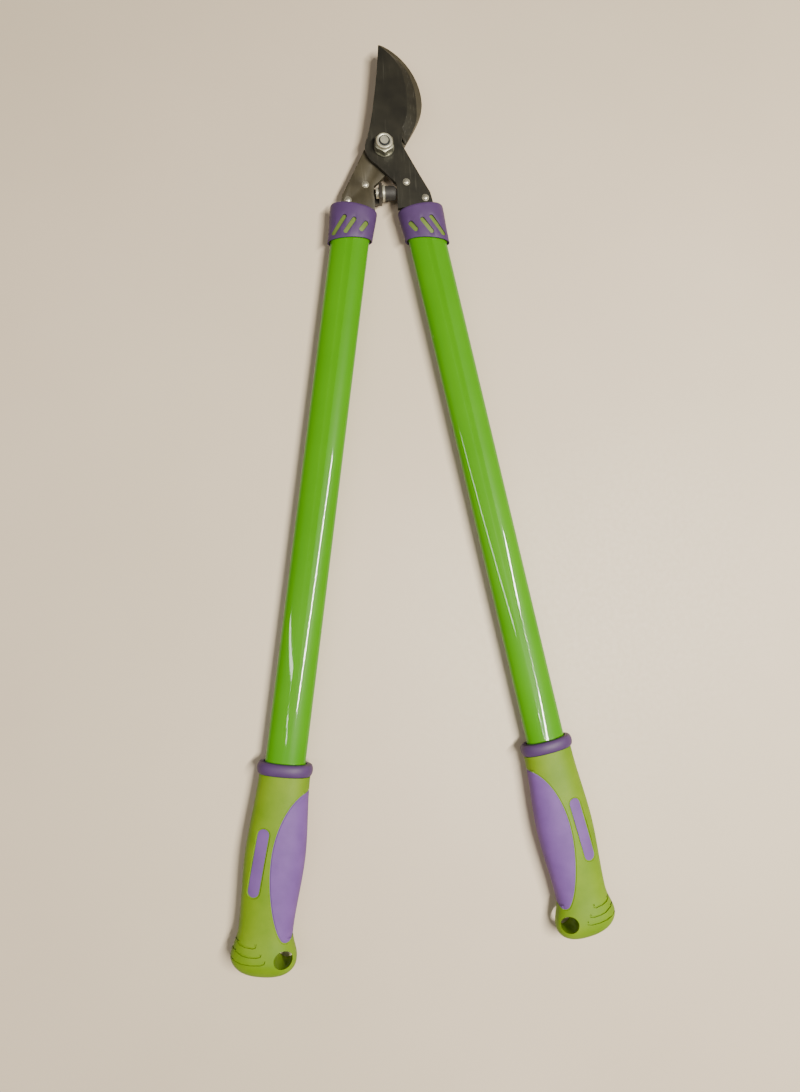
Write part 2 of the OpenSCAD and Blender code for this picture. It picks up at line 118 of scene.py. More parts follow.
def hang_lamp(name, ends, width, power, colour):
    """A long lamp between two places over the table, facing straight down."""
    start, end = [Vector((*place, LAMP_HEIGHT)) for place in ends]
    bpy.ops.object.light_add(type="AREA", location=(start + end) / 2)
    lamp = bpy.context.object
    lamp.name = name
    lamp.data.shape = "RECTANGLE"
    lamp.data.size = (end - start).length
    lamp.data.size_y = width
    lamp.data.energy = power
    lamp.data.color = colour
    lamp.rotation_euler = (0, 0, math.atan2(end.y - start.y, end.x - start.x))


hang_lamp("right_lamp", [(0.29, -0.46), (0.90, 0.16)], 0.05, 64, (1.0, 0.955, 0.84))
hang_lamp("left_lamp", [(-0.22, -0.30), (-1.90, 0.13)], 0.04, 11, (1.0, 0.96, 0.90))

room = bpy.data.worlds.new("room")
bpy.context.scene.world = room
room.use_nodes = True
backdrop = room.node_tree.nodes["Background"]
backdrop.inputs["Strength"].default_value = 0.17
direction = room.node_tree.nodes.new("ShaderNodeTexCoord")
axes = room.node_tree.nodes.new("ShaderNodeSeparateXYZ")
walls = room.node_tree.nodes.new("ShaderNodeMapRange")
walls.inputs["From Min"].default_value = -1
walls.inputs["From Max"].default_value = 1
shades = room.node_tree.nodes.new("ShaderNodeValToRGB")
shades.color_ramp.elements[0].color = (0.28, 0.26, 0.22, 1)
shades.color_ramp.elements[1].color = (1.0, 0.96, 0.9, 1)
room.node_tree.links.new(direction.outputs["Generated"], axes.inputs["Vector"])
room.node_tree.links.new(axes.outputs["X"], walls.inputs["Value"])
room.node_tree.links.new(walls.outputs["Result"], shades.inputs["Fac"])
room.node_tree.links.new(shades.outputs["Color"], backdrop.inputs["Color"])


# ---------- Hook jaw and tang straps ----------
# The hook that cradles the branch is 4.9 mm plate, cut in one piece with its tang and blackened.
# Under each tang lies a 4 mm strap that runs on into the tube; its edges are eased with a file.

mm = 0.001


def pick(part):
    """Selects one part alone."""
    bpy.ops.object.select_all(action="DESELECT")
    part.select_set(True)
    bpy.context.view_layer.objects.active = part


def work(part, kind, **settings):
    """Puts a modifier on a part and applies it."""
    pick(part)
    modifier = part.modifiers.new(kind.lower(), kind)
    for setting, value in settings.items():
        setattr(modifier, setting, value)
    bpy.ops.object.modifier_apply(modifier=modifier.name)


def ease_edges(part, width, crease):
    """Rounds every edge of a part that turns by more than an angle in degrees."""
    work(
        part, "BEVEL", width=width, segments=2, limit_method="ANGLE", angle_limit=math.radians(crease)
    )


def cut_plate(name, node, easing):
    """A plate with its node's outline, its edges eased by a small round."""
    plate = bpy.data.objects.new(name, frame["nodes"][node].data.copy())
    bpy.context.scene.collection.objects.link(plate)
    pick(plate)
    bpy.ops.mesh.customdata_custom_splitnormals_clear()
    bpy.ops.object.mode_set(mode="EDIT")
    bpy.ops.mesh.select_all(action="SELECT")
    bpy.ops.mesh.remove_doubles(threshold=0.002 * mm)
    bpy.ops.mesh.dissolve_limited(angle_limit=math.radians(0.6))
    bpy.ops.object.mode_set(mode="OBJECT")
    ease_edges(plate, easing, 38)
    return plate


def smooth_and_coat(part, finish, crease=32):
    """Smooths the round faces of a part, keeps its edges crisp, and gives it its finish."""
    pick(part)
    bpy.ops.object.shade_smooth_by_angle(angle=math.radians(crease))
    part.data.materials.clear()
    part.data.materials.append(finish)


def scratch(finish, colour, spacing, angle, share):
    """Adds hairline scratches, where the coating is thinner, across a finish."""
    tree = finish.node_tree
    place = tree.nodes.new("ShaderNodeTexCoord")
    turn = tree.nodes.new("ShaderNodeMapping")
    turn.inputs["Rotation"].default_value = (0, 0, math.radians(angle))
    turn.inputs["Scale"].default_value = (1, 0.03, 1)
    lines = tree.nodes.new("ShaderNodeTexNoise")
    lines.inputs["Scale"].default_value = 1 / spacing
    lines.inputs["Detail"].default_value = 3
    few = tree.nodes.new("ShaderNodeMapRange")
    few.inputs["From Min"].default_value = 0.62
    few.inputs["From Max"].default_value = 0.72
    few.inputs["To Max"].default_value = share
    blend = tree.nodes.new("ShaderNodeMix")
    blend.data_type = "RGBA"
    blend.inputs["B"].default_value = (*colour, 1)
    tree.links.new(place.outputs["Object"], turn.inputs["Vector"])
    tree.links.new(turn.outputs["Vector"], lines.inputs["Vector"])
    tree.links.new(lines.outputs["Fac"], few.inputs["Value"])
    tree.links.new(few.outputs["Result"], blend.inputs["Factor"])
    base = tree.nodes["Principled BSDF"].inputs["Base Color"]
    tree.links.new(base.links[0].from_socket, blend.inputs["A"])
    tree.links.new(blend.outputs["Result"], base)


hook_coat = make_finish(
    "hook_coat", (0.033, 0.027, 0.015), (0.054, 0.045, 0.026),
    0.012, (0.42, 0.56), 0.0008, 0.00003, 0.4,
)
scratch(hook_coat, (0.16, 0.145, 0.11), 0.0011, 24, 0.5)
strap_coat = make_finish(
    "strap_coat", (0.012, 0.010, 0.007), (0.022, 0.018, 0.013),
    0.010, (0.40, 0.54), 0.0007, 0.00003, 0.4,
)
scratch(strap_coat, (0.09, 0.08, 0.07), 0.0012, -15, 0.4)

hook = cut_plate("hook", "hook_jaw", 0.35 * mm)
smooth_and_coat(hook, hook_coat)
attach(hook, "hook_side")
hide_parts("hook_jaw")

SIDES = {"left": "hook_side", "right": "blade_side"}
for side, body in SIDES.items():
    strap = cut_plate(f"strap_{side}", f"{side}_tang_strap", 0.3 * mm)
    smooth_and_coat(strap, strap_coat)
    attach(strap, body)
    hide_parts(f"{side}_tang_strap")


# ---------- Cutting blade ----------
# The blade is 4.5 mm tool steel, ground to a long bevel on its upper face and coated black.
# It turns on the bolt and shears past the hook, flat face to flat face.

blade_coat = make_finish(
    "blade_coat", (0.010, 0.009, 0.006), (0.020, 0.018, 0.012),
    0.014, (0.36, 0.50), 0.0007, 0.00003, 0.4,
)
scratch(blade_coat, (0.10, 0.095, 0.075), 0.0010, 62, 0.45)
bevel_coat = make_finish(
    "bevel_coat", (0.012, 0.011, 0.007), (0.022, 0.020, 0.013),
    0.006, (0.46, 0.58), 0.0006, 0.00003, 0.3,
)
scratch(bevel_coat, (0.14, 0.13, 0.11), 0.0006, -35, 0.6)

blade = cut_plate("blade", "cutting_blade", 0.2 * mm)
smooth_and_coat(blade, blade_coat, crease=20)
blade.data.materials.append(bevel_coat)
for face in blade.data.polygons:
    ground = 0.7 < face.normal.z < 0.97 and face.center.y > pivot.y
    face.material_index = 1 if ground else 0
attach(blade, "blade_side")
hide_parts("cutting_blade")


# ---------- Pivot bolt, washers and locknut ----------
# An M8 bolt comes up through both jaws, with a plain washer under its head and one under the nut.
# The nut is a zinc-plated locknut: a hexagon under a round crown that grips a nylon ring.


def turned(name, profile, centre, along=(0, 0, 1), steps=64):
    """A part turned on the lathe: (radius, height) points in mm, swept once round an axis."""
    centre, along = Vector(centre), Vector(along)
    out = Vector((1, 0, 0)) if along.z else Vector((0, 0, 1))
    spots = [centre + out * (r * mm) + along * (h * mm) for r, h in profile]
    bpy.ops.object.select_all(action="DESELECT")
    bpy.ops.mesh.primitive_plane_add(size=1)
    part = bpy.context.object
    part.name = name
    bpy.ops.object.mode_set(mode="EDIT")
    bpy.ops.mesh.merge(type="CENTER")
    bpy.ops.transform.translate(value=spots[0])
    for before, after in zip(spots, spots[1:]):
        bpy.ops.mesh.extrude_region_move(TRANSFORM_OT_translate={"value": after - before})
    bpy.ops.mesh.select_all(action="SELECT")
    bpy.ops.mesh.spin(steps=steps, angle=2 * math.pi, center=centre, axis=along)
    bpy.ops.mesh.select_all(action="SELECT")
    bpy.ops.mesh.remove_doubles(threshold=0.001 * mm)
    bpy.ops.mesh.normals_make_consistent(inside=False)
    bpy.ops.object.mode_set(mode="OBJECT")
    return part


def carve(part, tool, how="DIFFERENCE", keep_tool=False):
    """Cuts one solid with another, or joins them, or keeps what they share."""
    work(part, "BOOLEAN", object=tool, operation=how, solver="EXACT")
    if not keep_tool:
        bpy.data.objects.remove(tool)


def hexagon(name, flats, low, height, lower_round, upper_round):
    """A hexagon bar cut off and chamfered round its ends, standing on the pivot's axis."""
    centre = Vector((pivot.x, pivot.y, low))
    bpy.ops.object.select_all(action="DESELECT")
    bpy.ops.mesh.primitive_cylinder_add(
        vertices=6,
        radius=flats / math.sqrt(3) * mm,
        depth=height * mm,
        location=centre + Vector((0, 0, height / 2 * mm)),
    )
    bar = bpy.context.object
    bar.name = name
    bpy.ops.object.transform_apply(location=True, rotation=True, scale=True)
    ease_edges(bar, 0.3 * mm, 50)
    flat, corner = flats / 2, flats / math.sqrt(3)
    turning = turned("turning", [
        (0, -0.01),
        (flat - lower_round, -0.01),
        (corner, 1.2 * lower_round + 0.3),
        (corner, height - 1.2 * upper_round - 0.3),
        (flat - upper_round, height + 0.01),
        (0, height + 0.01),
    ], centre)
    carve(bar, turning, "INTERSECT")
    return bar


def make_metal(finish, share):
    """Lets a finish shine as bare metal does, in part or in full."""
    finish.node_tree.nodes["Principled BSDF"].inputs["Metallic"].default_value = share


zinc = make_finish(
    "zinc", (0.42, 0.40, 0.31), (0.56, 0.54, 0.43), 0.003, (0.30, 0.46), 0.0005, 0.00001
)
make_metal(zinc, 0.6)
# A darker zinc: the dull plating of the plain washers, and painted shade on the nut's hexagon.
dull_zinc_and_painted_shade = make_finish(
    "dull_zinc_and_painted_shade", (0.19, 0.19, 0.14), (0.31, 0.30, 0.23), 0.003, (0.34, 0.5), 0.0005, 0.00001
)
make_metal(dull_zinc_and_painted_shade, 0.8)
# Near-black: the colour of the nylon ring, and painted shade on the bolt's thread inside the nut's
# bore.
nylon_and_painted_shade = make_finish(
    "nylon_and_painted_shade", (0.010, 0.011, 0.014), (0.020, 0.022, 0.026),
    0.003, (0.4, 0.5), 0.0006, 0.00001,
)

nut_low, nut_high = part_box("pivot_locknut")
nut_h = (nut_high.z - nut_low.z) / mm
crown_z = 0.72 * nut_h
nut_centre = Vector((pivot.x, pivot.y, nut_low.z))
FLATS = 14
CROWN_R = 6.45
nut = hexagon("nut", FLATS, nut_low.z, crown_z, 0.1, 0.5)
crown = turned("crown", [
    (0, crown_z - 1),
    (CROWN_R, crown_z - 1),
    (CROWN_R, crown_z + 0.1),
    (6.35, nut_h - 1.1),
    (6.25, nut_h - 0.6),
    (6.0, nut_h - 0.2),
    (5.65, nut_h - 0.02),
    (5.3, nut_h),
    (4.8, nut_h - 0.08),
    (4.4, nut_h - 0.35),
    (0, nut_h - 0.35),
], nut_centre)
carve(nut, crown, "UNION")
bore = turned("bore", [
    (0, -1),
    (4.9, -1),
    (4.02, 0.6),
    (4.02, crown_z),
    (5.25, crown_z),
    (5.25, nut_h - 0.9),
    (4.35, nut_h - 0.6),
    (4.35, nut_h + 0.5),
    (0, nut_h + 0.5),
], nut_centre)
carve(nut, bore)
smooth_and_coat(nut, zinc)
nut.data.materials.append(dull_zinc_and_painted_shade)
# Every face beyond the crown's radius (the hexagon's flats and chamfers) takes the darker zinc. This is
# painted shade with a painted dark reflection of the blade. The crown keeps the bright zinc.
for face in nut.data.polygons:
    reach = (face.center.xy - pivot.xy).length
    face.material_index = 1 if reach > (CROWN_R + 0.01) * mm else 0
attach(nut, "hook_side")
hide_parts("pivot_locknut")

insert = turned("insert", [
    (4.04, crown_z + 0.05),
    (5.2, crown_z + 0.05),
    (5.2, nut_h - 0.95),
    (4.8, nut_h - 0.75),
    (4.25, nut_h - 0.75),
    (4.04, nut_h - 1.0),
    (4.04, crown_z + 0.05),
], nut_centre)
smooth_and_coat(insert, nylon_and_painted_shade)
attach(insert, "hook_side")
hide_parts("locknut_insert")

bolt_low, bolt_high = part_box("pivot_bolt")
head_h = 5.3
bolt_length = (bolt_high.z - bolt_low.z) / mm
PITCH = 1.25
CREST_R = 3.98
ROOT_R = 3.45
thread = []
for turn in range(9):
    crest = bolt_length - 12.2 + PITCH * turn
    thread += [(CREST_R, crest), (CREST_R, crest + 0.2), (ROOT_R, crest + 0.7), (ROOT_R, crest + 0.9)]
bolt = hexagon("bolt", FLATS, bolt_low.z, head_h, 0.5, 0.1)
shank = turned("shank", [
    (0, head_h - 1),
    (3.99, head_h - 1),
    *thread,
    (CREST_R, bolt_length - 1.05),
    (CREST_R, bolt_length - 0.95),
    (3.3, bolt_length - 0.1),
    (3.15, bolt_length),
    (0, bolt_length),
], (pivot.x, pivot.y, bolt_low.z))
carve(bolt, shank, "UNION")
smooth_and_coat(bolt, zinc)
bolt.data.materials.append(nylon_and_painted_shade)
# The bolt's side faces above the foot of the nut (its thread and end chamfer) take the near-black
# finish. This is painted shade of the narrow gap between bolt and bore, not the thread's own zinc.
for face in bolt.data.polygons:
    thread_in_shade = face.center.z > nut_low.z and abs(face.normal.z) < 0.95
    face.material_index = 1 if thread_in_shade else 0
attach(bolt, "hook_side")
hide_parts("pivot_bolt")

HOLE_R = 4.3
for node in ("head_washer", "nut_washer"):
    low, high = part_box(node)
    outer = (high.x - low.x) / 2 / mm
    thick = (high.z - low.z) / mm
    washer = turned(f"plain_{node}", [
        (HOLE_R, 0.1),
        (4.4, 0),
        (outer - 0.3, 0),
        (outer, 0.3),
        (outer, thick - 0.3),
        (outer - 0.3, thick),
        (4.4, thick),
        (HOLE_R, thick - 0.1),
        (HOLE_R, 0.1),
    ], (pivot.x, pivot.y, low.z), steps=96)
    smooth_and_coat(washer, dull_zinc_and_painted_shade)
    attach(washer, "hook_side")
    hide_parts(node)


# ---------- Tang rivets ----------
# Two steel rivets hold each jaw to its strap. Their domed heads are set with a snap,
# which leaves a narrow flat ring round the dome.

HANDLE_ANGLE = math.radians(9.8)
HANDLE_OFFSET = 17.8 * mm
place_right = (
    Matrix.Translation((pivot.x, pivot.y, 0))
    @ Matrix.Rotation(HANDLE_ANGLE, 4, "Z")
    @ Matrix.Translation((HANDLE_OFFSET, 0, 0))
)
mirror_left = Matrix.Translation((2 * pivot.x, 0, 0)) @ Matrix.Scale(-1, 4, (1, 0, 0))
PLACES = {"right": place_right, "left": mirror_left @ place_right}

rivet_finish = make_finish(
    "rivet_finish", (0.46, 0.43, 0.34), (0.62, 0.59, 0.48), 0.002, (0.25, 0.42), 0.0005, 0.00001
)
make_metal(rivet_finish, 0.8)
RIVET_SPOTS = ((-6.6, 30.2), (5.4, 45.2))
DOME_R = 2.35
DOME_H = 1.2
RING_R = 2.8


def dome(radius, height, start, up, steps=7):
    """Points of a rivet's dome, from its rim to its top or from its top to its rim."""
    rim = []
    for k in range(steps + 1):
        swing = math.pi / 2 * k / steps
        rim.append((radius * math.cos(swing), start + up * height * math.sin(swing)))
    return rim if up > 0 else rim[::-1]


for side, body in SIDES.items():
    low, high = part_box(f"{side}_tang_rivets")
    height = (high.z - low.z) / mm
    rivets = []
    for across, along in RIVET_SPOTS:
        spot = PLACES[side] @ Vector((across * mm, -along * mm, 0))
        rivets.append(turned("rivet", [
            *dome(DOME_R, DOME_H, DOME_H, -1),
            (RING_R, 1.25),
            (RING_R, 1.5),
            (2.0, 1.5),
            (2.0, height - 1.5),
            (RING_R, height - 1.5),
            (RING_R, height - 1.25),
            *dome(DOME_R, DOME_H, height - DOME_H, 1),
        ], (spot.x, spot.y, low.z), steps=40))
    pick(rivets[0])
    rivets[1].select_set(True)
    bpy.ops.object.join()
    pair = bpy.context.object
    pair.name = f"rivets_{side}"
    smooth_and_coat(pair, rivet_finish)
    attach(pair, body)
    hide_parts(f"{side}_tang_rivets")


# ---------- Closing stop ----------
# A rubber buffer takes the shock when the handles close. It sits in a pressed steel cup on the
# lug of the left strap, held by a screw with a socket head; the right tang comes to rest on it.

rubber = make_finish(
    "rubber", (0.018, 0.016, 0.014), (0.032, 0.029, 0.026), 0.004, (0.55, 0.7), 0.0006, 0.00004
)
low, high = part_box("buffer_cup")
stop_y, stop_z = (low.y + high.y) / 2, (low.z + high.z) / 2
SCREW_HOLE_R = 2.5
cup_r = (high.z - low.z) / 2 / mm
cup = turned("cup", [
    (SCREW_HOLE_R, 0),
    (cup_r - 0.5, 0),
    (cup_r, 0.5),
    (cup_r, 2.0),
    (cup_r - 0.15, 2.2),
    (cup_r - 0.45, 2.2),
    (cup_r - 0.58, 2.0),
    (cup_r - 0.58, 1.2),
    (SCREW_HOLE_R, 1.2),
    (SCREW_HOLE_R, 0),
], (low.x, stop_y, stop_z), along=(1, 0, 0))
smooth_and_coat(cup, zinc)
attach(cup, "hook_side")
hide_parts("buffer_cup")

low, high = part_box("buffer_rubber")
block_r = (high.z - low.z) / 2 / mm
block_l = (high.x - low.x) / mm
block = turned("block", [
    (0, 5),
    (SCREW_HOLE_R, 5),
    (SCREW_HOLE_R, 0),
    (block_r, 0),
    (block_r, block_l * 0.5),
    (block_r - 0.1, block_l - 2.0),
    (block_r - 0.4, block_l - 1.0),
    (block_r - 1.0, block_l - 0.3),
    (block_r - 2.0, block_l),
    (0, block_l),
], (low.x, stop_y, stop_z), along=(1, 0, 0))
smooth_and_coat(block, rubber)
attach(block, "hook_side")
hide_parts("buffer_rubber")

low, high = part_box("buffer_screw")
head_r = (high.z - low.z) / 2 / mm
screw_l = (high.x - low.x) / mm
screw = turned("screw", [
    (0, 0),
    (head_r - 0.5, 0),
    (head_r - 0.1, 0.25),
    (head_r, 0.7),
    (head_r, 2.4),
    (SCREW_HOLE_R - 0.05, 2.4),
    (SCREW_HOLE_R - 0.05, screw_l - 0.4),
    (2.1, screw_l),
    (0, screw_l),
], (low.x, stop_y, stop_z), along=(1, 0, 0))
SOCKET_FLATS = 3
SOCKET_DEPTH = 1.4
bpy.ops.object.select_all(action="DESELECT")
bpy.ops.mesh.primitive_cylinder_add(
    vertices=6,
    radius=SOCKET_FLATS / math.sqrt(3) * mm,
    depth=2 * SOCKET_DEPTH * mm,
    location=(low.x, stop_y, stop_z),
    rotation=(0, math.pi / 2, 0),
)
socket = bpy.context.object
carve(screw, socket)
smooth_and_coat(screw, zinc)
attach(screw, "hook_side")
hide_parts("buffer_screw")


# ---------- Handle tubes ----------
# Each handle is a seamless tube pressed to a 30 by 17 mm oval, with a 1.2 mm wall,
# and sprayed with a glossy yellow-green paint.

tube_low, tube_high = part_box("left_tube")
MID_Z = (tube_low.z + tube_high.z) / 2


def drawn_body(name, stations, points=96, power=2.0):
    """A closed oval body drawn out ring by ring.

    A station is its (distance along, half width, shift across, half height) in mm.
    """
    bpy.ops.object.select_all(action="DESELECT")
    bpy.ops.mesh.primitive_circle_add(
        vertices=points, radius=1, fill_type="NGON", rotation=(math.pi / 2, 0, 0)
    )
    bpy.ops.object.transform_apply(location=False, rotation=True, scale=False)
    body = bpy.context.object
    body.name = name
    for vertex in body.data.vertices:
        x, z = vertex.co.x, vertex.co.z
        vertex.co.x = math.copysign(abs(x) ** (2 / power), x)
        vertex.co.z = math.copysign(abs(z) ** (2 / power), z)
    along, wide, shift, high = stations[0]
    bpy.ops.object.mode_set(mode="EDIT")
    bpy.ops.mesh.select_all(action="SELECT")
    bpy.ops.transform.resize(value=(wide * mm, 1, high * mm), center_override=(0, 0, 0))
    bpy.ops.transform.translate(value=(shift * mm, -along * mm, MID_Z))
    for before, after in zip(stations, stations[1:]):
        step = Vector((after[2] - before[2], before[0] - after[0], 0)) * mm
        bpy.ops.mesh.extrude_region_move(TRANSFORM_OT_translate={"value": step})
        bpy.ops.transform.resize(
            value=(after[1] / before[1], 1, after[3] / before[3]),
            center_override=(after[2] * mm, -after[0] * mm, MID_Z),
        )
    bpy.ops.mesh.select_all(action="SELECT")
    bpy.ops.mesh.normals_make_consistent(inside=False)
    bpy.ops.object.mode_set(mode="OBJECT")
    return body


def hang_on(part, name, side):
    """Copies a part that was drawn straight behind the pivot onto one of the handles."""
    copy = bpy.data.objects.new(name, part.data.copy())
    bpy.context.scene.collection.objects.link(copy)
    pick(copy)
    copy.matrix_world = PLACES[side]
    bpy.ops.object.transform_apply(location=True, rotation=True, scale=True)
    if side == "left":
        bpy.ops.object.mode_set(mode="EDIT")
        bpy.ops.mesh.select_all(action="SELECT")
        bpy.ops.mesh.flip_normals()
        bpy.ops.object.mode_set(mode="OBJECT")
    return copy


paint = make_finish(
    "paint", (0.050, 0.222, 0.000), (0.062, 0.250, 0.001),
    0.06, (0.34, 0.42), 0.0016, 0.000012, 0.1,
)
gloss_coat = paint.node_tree.nodes["Principled BSDF"]
gloss_coat.inputs["Coat Weight"].default_value = 0.45
gloss_coat.inputs["Coat Roughness"].default_value = 0.04

TUBE_OVAL = (15, 0, 8.5)
BORE_OVAL = (13.8, 0, 7.3)
ROOM_OVAL = (15.05, 0, 8.55)
tube = drawn_body("tube", [(along, *TUBE_OVAL) for along in (61, 61.4, 599.6, 600)])
inside = drawn_body("inside", [(along, *BORE_OVAL) for along in (55, 605)])
carve(tube, inside)
PIN_ALONG = 70
PIN_R = 2.5
pin_hole = turned(
    "pin_hole", [(0, 0), (PIN_R, 0), (PIN_R, 40), (0, 40)], (0, -PIN_ALONG * mm, 0)
)
carve(tube, pin_hole)
ease_edges(tube, 0.2 * mm, 60)

pin_low, pin_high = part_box("left_tube_rivet")
pin_l = (pin_high.z - pin_low.z) / mm
pin = turned("pin", [
    (0, 0),
    (2.2, 0),
    (PIN_R - 0.02, 0.25),
    (PIN_R - 0.02, pin_l - 0.25),
    (2.2, pin_l),
    (0, pin_l),
], (0, -PIN_ALONG * mm, pin_low.z))

for side, body in SIDES.items():
    handle = hang_on(tube, f"handle_{side}", side)
    smooth_and_coat(handle, paint)
    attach(handle, body)
    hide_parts(f"{side}_tube")
    tube_pin = hang_on(pin, f"pin_{side}", side)
    smooth_and_coat(tube_pin, rivet_finish)
    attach(tube_pin, body)
    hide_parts(f"{side}_tube_rivet")
for spare in (tube, pin):
    bpy.data.objects.remove(spare)


# ---------- Collars ----------
# A collar closes the end of each tube where the strap goes in. It is moulded in two shots:
# a green core, and over it a purple sleeve with three slanting slots that let the core show.


def drawn_outline(name, points, low, high):
    """A solid cut straight up and down to an outline of (across, along) points in mm."""
    spots = [Vector((across * mm, -along * mm, low)) for across, along in points]
    bpy.ops.object.select_all(action="DESELECT")
    bpy.ops.mesh.primitive_plane_add(size=1)
    solid = bpy.context.object
    solid.name = name
    bpy.ops.object.mode_set(mode="EDIT")
    bpy.ops.mesh.merge(type="CENTER")
    bpy.ops.transform.translate(value=spots[0])
    for before, after in zip(spots, spots[1:]):
        bpy.ops.mesh.extrude_region_move(TRANSFORM_OT_translate={"value": after - before})
    bpy.ops.mesh.select_all(action="SELECT")
    bpy.ops.mesh.edge_face_add()
    bpy.ops.mesh.extrude_region_move(TRANSFORM_OT_translate={"value": (0, 0, high - low)})
    bpy.ops.mesh.select_all(action="SELECT")
    bpy.ops.mesh.normals_make_consistent(inside=False)
    bpy.ops.object.mode_set(mode="OBJECT")
    return solid


def long_hole(across, start, end, width, lean=0):
    """Outline of a slot with round ends between two distances along; a lean turns its rear outwards."""
    half = (end - start) / 2 / math.cos(lean) - width / 2
    points = []
    for end_sign in (1, -1):
        for turn in range(0, 181, 15):
            x = end_sign * width / 2 * math.cos(math.radians(turn))
            y = end_sign * (half + width / 2 * math.sin(math.radians(turn)))
            points.append((
                across + x * math.cos(lean) + y * math.sin(lean),
                (start + end) / 2 - x * math.sin(lean) + y * math.cos(lean),
            ))
    return points


def saw_off(part, along, lean):
    """Saws off what lies behind a plane across the handle; the plane leans back towards the outside."""
    pick(part)
    bpy.ops.object.mode_set(mode="EDIT")
    bpy.ops.mesh.select_all(action="SELECT")
    bpy.ops.mesh.bisect(
        plane_co=(0, -along * mm, 0),
        plane_no=(-math.sin(lean), -math.cos(lean), 0),
        clear_outer=True,
        use_fill=True,
    )
    bpy.ops.object.mode_set(mode="OBJECT")


sleeve_finish = make_finish(
    "sleeve_finish", (0.060, 0.029, 0.098), (0.072, 0.036, 0.115),
    0.010, (0.46, 0.58), 0.0006, 0.00003, 0.3,
)
core_finish = make_finish(
    "core_finish", (0.100, 0.155, 0.022), (0.125, 0.185, 0.034),
    0.010, (0.45, 0.55), 0.0008, 0.00002, 0.3,
)

COLLAR_START = 50.6
COLLAR_END = 78.5
LEAN = math.radians(12)
LIP_L = 2.4
lip = [
    (COLLAR_START + LIP_L * (1 - math.sin(math.radians(t))), math.cos(math.radians(t)))
    for t in range(90, -1, -10)
]
sleeve_body = drawn_body("sleeve_body", [
    *[(along, 16.6 + 1.9 * out, 0, 10.3 + 1.7 * out) for along, out in lip],
    (COLLAR_START + 8, 18.35, 0, 11.9),
    (COLLAR_START + 20, 17.6, 0, 11.2),
    (COLLAR_END + 12, 16.95, 0, 10.55),
])
saw_off(sleeve_body, COLLAR_END, LEAN)
core_body = drawn_body("core_body", [
    (COLLAR_START + 0.5, 16.6, 0, 10.1),
    (COLLAR_END + 12, 16.6, 0, 10.1),
])
room = drawn_body("room", [
    (COLLAR_START - 5, 16.62, 0, 10.12),
    (COLLAR_END + 20, 16.62, 0, 10.12),
])
carve(sleeve_body, room)
saw_off(core_body, COLLAR_END - 1.5, LEAN)
bore = drawn_body("bore", [
    (COLLAR_START + 2.5, *ROOM_OVAL),
    (COLLAR_END + 20, *ROOM_OVAL),
])
carve(core_body, bore)
SLOTS = ((9.2, 61.5, 78), (0.8, 62.5, 76), (-9.8, 63, 72))
SLOT_W = 3.6
SLOT_LEAN = math.radians(27)
BELOW = MID_Z - 30 * mm
ABOVE = MID_Z + 30 * mm
for across, start, end in SLOTS:
    slot = long_hole(across, start, end, SLOT_W, SLOT_LEAN)
    cutter = drawn_outline("cutter", slot, BELOW, ABOVE)
    carve(sleeve_body, cutter)

MOUTH = [(-10.2, 45), (10.2, 45), (10.2, 54), (-10.2, 54)]
for side, body in SIDES.items():
    strap_low, strap_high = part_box(f"{side}_tang_strap")
    strap_top = MID_Z + 2.2 * mm
    core_copy = hang_on(core_body, f"collar_core_{side}", side)
    mouth = drawn_outline("mouth", MOUTH, strap_low.z - 0.2 * mm, strap_top)
    mouth_here = hang_on(mouth, "mouth_here", side)
    bpy.data.objects.remove(mouth)
    carve(core_copy, mouth_here)
    ease_edges(core_copy, 0.25 * mm, 50)
    smooth_and_coat(core_copy, core_finish)
    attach(core_copy, body)
    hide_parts(f"{side}_collar_core")
    sleeve = hang_on(sleeve_body, f"collar_sleeve_{side}", side)
    ease_edges(sleeve, 0.3 * mm, 45)
    smooth_and_coat(sleeve, sleeve_finish)
    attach(sleeve, body)
    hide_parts(f"{side}_collar_sleeve")
for spare in (sleeve_body, core_body):
    bpy.data.objects.remove(spare)


# ---------- Grips ----------
# Each grip is moulded over the end of its tube: a firm green body with a waist before its heel,
# a hole to hang the tool by, and three hooked lines engraved round its outer side.


def ease(t):
    """A share from 0 to 1 that starts and ends gently."""
    return t * t * (3 - 2 * t)


def bezier(a, b, c, d, steps=14):
    """Points of a cubic Bezier curve, without its last point."""
    points = []
    for k in range(steps):
        t = k / steps
        u = 1 - t
        pull = (u * u * u, 3 * u * u * t, 3 * u * t * t, t * t * t)
        points.append(tuple(
            pull[0] * a[i] + pull[1] * b[i] + pull[2] * c[i] + pull[3] * d[i] for i in (0, 1)
        ))
    return points


def groove_tool(name, path, radius, closed):
    """A round bar bent along a path, to press a groove with."""
    line = bpy.data.curves.new(name, "CURVE")
    line.dimensions = "3D"
    line.bevel_depth = radius
    line.bevel_resolution = 3
    line.use_fill_caps = not closed
    spline = line.splines.new("POLY")
    spline.points.add(len(path) - 1)
    for point, spot in zip(spline.points, path):
        point.co = (*spot, 1)
    spline.use_cyclic_u = closed
    tool = bpy.data.objects.new(name, line)
    bpy.context.scene.collection.objects.link(tool)
    pick(tool)
    bpy.ops.object.convert(target="MESH")
    tool = bpy.context.object
    bpy.ops.object.mode_set(mode="EDIT")
    bpy.ops.mesh.select_all(action="SELECT")
    bpy.ops.mesh.remove_doubles(threshold=0.001 * mm)
    bpy.ops.mesh.normals_make_consistent(inside=False)
    bpy.ops.object.mode_set(mode="OBJECT")
    return tool


